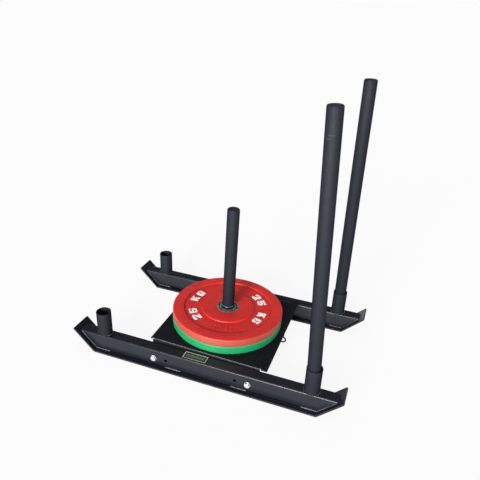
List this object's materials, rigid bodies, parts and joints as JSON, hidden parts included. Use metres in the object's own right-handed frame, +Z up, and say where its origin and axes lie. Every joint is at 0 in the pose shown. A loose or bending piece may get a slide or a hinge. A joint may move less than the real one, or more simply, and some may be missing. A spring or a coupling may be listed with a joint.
{
  "type": "weight sled",
  "caption": "Push sled of black steel tube on bent runner plates, with upright push poles in sockets and a loading post that holds bumper plates on a low platform.",
  "frame": {"origin": "on the floor, under the middle of the sled", "axes": "+X back towards the end with the push poles, +Y across away from the rail with the label, +Z up"},
  "size_m": [1.076, 0.61, 1.0534],
  "materials": {
    "powder_coat": "black powder coat, fine texture, satin",
    "zinc": "zinc plated, satin",
    "hub_steel": "turned steel, satin",
    "cap": "moulded black plastic, fine grain",
    "label": "printed plate with a pale border, no text",
    "red_rubber": "coloured solid rubber, satin",
    "green_rubber": "coloured solid rubber, satin"
  },
  "bodies": {
    "base": {"bolt_front_left": "zinc", "bolt_front_right": "zinc", "bolt_rear_left": "zinc", "bolt_rear_right": "zinc", "head_washer_front_left": "zinc", "head_washer_front_right": "zinc", "head_washer_rear_left": "zinc", "head_washer_rear_right": "zinc", "label_plate": "label", "nut_front_left": "zinc", "nut_front_right": "zinc", "nut_rear_left": "zinc", "nut_rear_right": "zinc", "nut_washer_front_left": "zinc", "nut_washer_front_right": "zinc", "nut_washer_rear_left": "zinc", "nut_washer_rear_right": "zinc", "platform": "powder_coat", "post_cap": "cap", "rail_left": "powder_coat", "rail_right": "powder_coat", "skid_left": "powder_coat", "skid_right": "powder_coat", "socket_front_left": "powder_coat", "socket_front_right": "powder_coat", "socket_rear_left": "powder_coat", "socket_rear_right": "powder_coat", "tow_eye": "powder_coat", "weight_post": "powder_coat"},
    "push_pole_left": {"push_pole_left": "powder_coat", "pole_cap_left": "cap", "pole_foot_left": "cap"},
    "push_pole_right": {"push_pole_right": "powder_coat", "pole_cap_right": "cap", "pole_foot_right": "cap"},
    "green_plate": {"green_plate": "green_rubber", "green_hub": "hub_steel"},
    "red_plate": {"red_plate": "red_rubber", "red_hub": "hub_steel"},
    "post_collar": {"post_collar": "powder_coat"}
  },
  "joints": [
    {"name": "draw_push_pole_left", "type": "slide", "parent": "base", "child": "push_pole_left", "axis": [-0.0467, 0, 0.9989], "range_m": [0, 0.12]},
    {"name": "draw_push_pole_right", "type": "slide", "parent": "base", "child": "push_pole_right", "axis": [-0.0112, 0, 0.9999], "range_m": [0, 0.12]},
    {"name": "lift_green_plate", "type": "slide", "parent": "base", "child": "green_plate", "axis": [0.019, 0, 0.9998], "range_m": [0, 0.52]},
    {"name": "lift_red_plate", "type": "slide", "parent": "green_plate", "child": "red_plate", "axis": [0.019, 0, 0.9998], "range_m": [0, 0.49]},
    {"name": "lift_post_collar", "type": "slide", "parent": "red_plate", "child": "post_collar", "axis": [0.019, 0, 0.9998], "range_m": [0, 0.46]}
  ]
}
